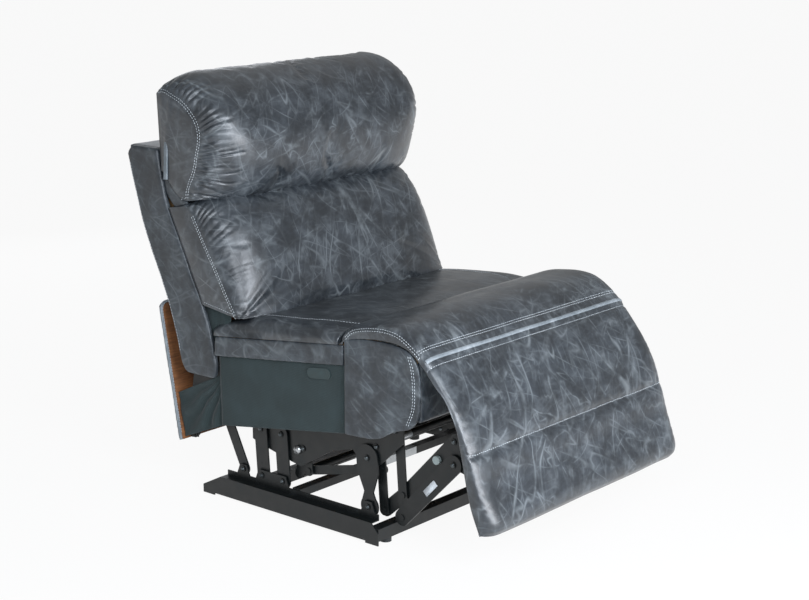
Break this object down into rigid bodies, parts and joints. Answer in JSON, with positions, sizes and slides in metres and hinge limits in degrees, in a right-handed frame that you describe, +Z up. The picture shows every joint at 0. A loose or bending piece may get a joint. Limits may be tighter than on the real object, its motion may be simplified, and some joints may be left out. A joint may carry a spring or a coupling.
{
  "type": "recliner armchair",
  "caption": "Leather recliner chair seat with padded back, tilting headrest and a fold-out chaise footrest on an open steel scissor mechanism and floor base.",
  "frame": {"origin": "on the floor, under the middle of the chair's bounding box in the resting pose", "axes": "+Z up, the chair faces -Y, +X to the sitter's left"},
  "size_m": [0.78, 1.1569, 1.059],
  "materials": {
    "leather": "satin",
    "black_steel": "satin",
    "zinc_steel": "satin",
    "timber": "matte",
    "cloth": "matte",
    "cushion": "satin",
    "plastic": "matte"
  },
  "bodies": {
    "base": {"base_rail_right": "black_steel", "base_rail_left": "black_steel", "front_cross_rail": "black_steel", "rear_cross_rail": "black_steel", "motor_cross_rail": "black_steel", "motor_rail_bracket": "zinc_steel", "base_glides": "plastic", "base_pins": "zinc_steel"},
    "front_lift": {"front_lift_links": "black_steel"},
    "middle_lift": {"middle_lift_links": "black_steel"},
    "rear_lift": {"rear_lift_links": "black_steel"},
    "back_link": {"back_links": "black_steel"},
    "seat": {"seat_side_plate_right": "black_steel", "seat_side_plate_left": "black_steel", "side_cover_right": "cloth", "side_cover_left": "cloth", "front_side_panel_right": "leather", "front_side_panel_left": "leather", "seat_pins": "zinc_steel", "seat_frame": "timber", "side_bands": "leather", "front_panel": "leather", "seat_springs": "zinc_steel", "side_inset": "plastic", "tail_brackets": "black_steel", "dust_cloths": "cloth", "seat_cushion": "cushion", "chaise_pad": "cushion", "chaise_bridge": "cushion"},
    "front_ottoman": {"front_ottoman_link_right": "black_steel", "front_ottoman_link_left": "black_steel"},
    "rear_ottoman": {"rear_ottoman_link_right": "black_steel", "rear_ottoman_link_left": "black_steel"},
    "inner_ottoman": {"inner_ottoman_link_right": "black_steel", "inner_ottoman_link_left": "black_steel", "ottoman_bumpers": "plastic"},
    "outer_ottoman": {"outer_ottoman_link_right": "black_steel", "outer_ottoman_link_left": "black_steel"},
    "drive": {"drive_crank": "black_steel", "drive_sleeve": "zinc_steel"},
    "drive_rod": {"drive_links": "black_steel"},
    "footrest": {"footrest_pad": "cushion", "footrest_board": "timber", "footrest_bracket_right": "black_steel", "footrest_bracket_left": "black_steel", "footrest_pins": "zinc_steel"},
    "back": {"back_shell": "cushion", "back_frame": "timber", "back_brackets": "black_steel", "back_cushion": "cushion", "headrest_arms": "black_steel"},
    "skirt": {"skirt_board": "timber", "skirt_leather": "leather", "skirt_lugs": "black_steel"},
    "headrest": {"headrest_cushion": "cushion", "headrest_pins": "zinc_steel", "headrest_plate": "black_steel"}
  },
  "joints": [
    {"name": "recline_drive", "type": "hinge", "parent": "base", "child": "front_lift", "pos_m": [0, -0.1775, 0.079], "axis": [1, 0, 0], "range_deg": [0, 16]},
    {"name": "seat_carry", "type": "hinge", "parent": "front_lift", "child": "seat", "pos_m": [0, -0.1695, 0.197], "axis": [1, 0, 0], "range_deg": [-16, 0]},
    {"name": "middle_lift_swing", "type": "hinge", "parent": "base", "child": "middle_lift", "pos_m": [0, 0.1025, 0.079], "axis": [1, 0, 0], "range_deg": [0, 16]},
    {"name": "rear_lift_swing", "type": "hinge", "parent": "base", "child": "rear_lift", "pos_m": [0, 0.1725, 0.079], "axis": [1, 0, 0], "range_deg": [0, 16]},
    {"name": "back_link_swing", "type": "hinge", "parent": "base", "child": "back_link", "pos_m": [0, 0.2375, 0.082], "axis": [1, 0, 0], "range_deg": [0, 8.59]},
    {"name": "back_recline", "type": "hinge", "parent": "seat", "child": "back", "pos_m": [0, 0.3725, 0.32], "axis": [-1, 0, 0], "range_deg": [0, 36]},
    {"name": "skirt_swing", "type": "hinge", "parent": "seat", "child": "skirt", "pos_m": [0, 0.3945, 0.146], "axis": [-1, 0, 0], "range_deg": [0, 19.2]},
    {"name": "headrest_tilt", "type": "hinge", "parent": "back", "child": "headrest", "pos_m": [0, 0.4005, 0.778], "axis": [1, 0, 0], "range_deg": [0, 20]},
    {"name": "footrest_open", "type": "hinge", "parent": "seat", "child": "footrest", "pos_m": [0, -0.4025, 0.44], "axis": [-1, 0, 0], "range_deg": [-20, 69], "deforming": ["chaise_bridge"]},
    {"name": "front_ottoman_swing", "type": "hinge", "parent": "seat", "child": "front_ottoman", "pos_m": [0, -0.2505, 0.278], "axis": [-1, 0, 0], "range_deg": [-20, 69]},
    {"name": "rear_ottoman_swing", "type": "hinge", "parent": "seat", "child": "rear_ottoman", "pos_m": [0, -0.19325, 0.2275], "axis": [-1, 0, 0], "range_deg": [-20, 69]},
    {"name": "outer_ottoman_swing", "type": "hinge", "parent": "front_ottoman", "child": "outer_ottoman", "pos_m": [0, -0.2655, 0.068], "axis": [-1, 0, 0], "range_deg": [-69, 20]},
    {"name": "inner_ottoman_swing", "type": "hinge", "parent": "rear_ottoman", "child": "inner_ottoman", "pos_m": [0, -0.2045, 0.07], "axis": [-1, 0, 0], "range_deg": [-69, 20]},
    {"name": "drive_crank_swing", "type": "hinge", "parent": "seat", "child": "drive", "pos_m": [0, 0.0425, 0.173], "axis": [-1, 0, 0], "range_deg": [-20, 69]},
    {"name": "drive_rod_swing", "type": "hinge", "parent": "drive", "child": "drive_rod", "pos_m": [0, 0.03823, 0.11315], "axis": [-1, 0, 0], "range_deg": [-69, 20]}
  ],
  "couplings": [
    {"joint": "seat_carry", "follows": "recline_drive", "ratio": -1},
    {"joint": "middle_lift_swing", "follows": "recline_drive", "ratio": 1},
    {"joint": "rear_lift_swing", "follows": "recline_drive", "ratio": 1},
    {"joint": "back_link_swing", "follows": "recline_drive", "ratio": 0.537},
    {"joint": "back_recline", "follows": "recline_drive", "ratio": 2.25},
    {"joint": "skirt_swing", "follows": "recline_drive", "ratio": 1.2},
    {"joint": "front_ottoman_swing", "follows": "footrest_open", "ratio": 1},
    {"joint": "rear_ottoman_swing", "follows": "footrest_open", "ratio": 1},
    {"joint": "outer_ottoman_swing", "follows": "footrest_open", "ratio": -1},
    {"joint": "inner_ottoman_swing", "follows": "footrest_open", "ratio": -1},
    {"joint": "drive_crank_swing", "follows": "footrest_open", "ratio": 1},
    {"joint": "drive_rod_swing", "follows": "footrest_open", "ratio": -1}
  ]
}
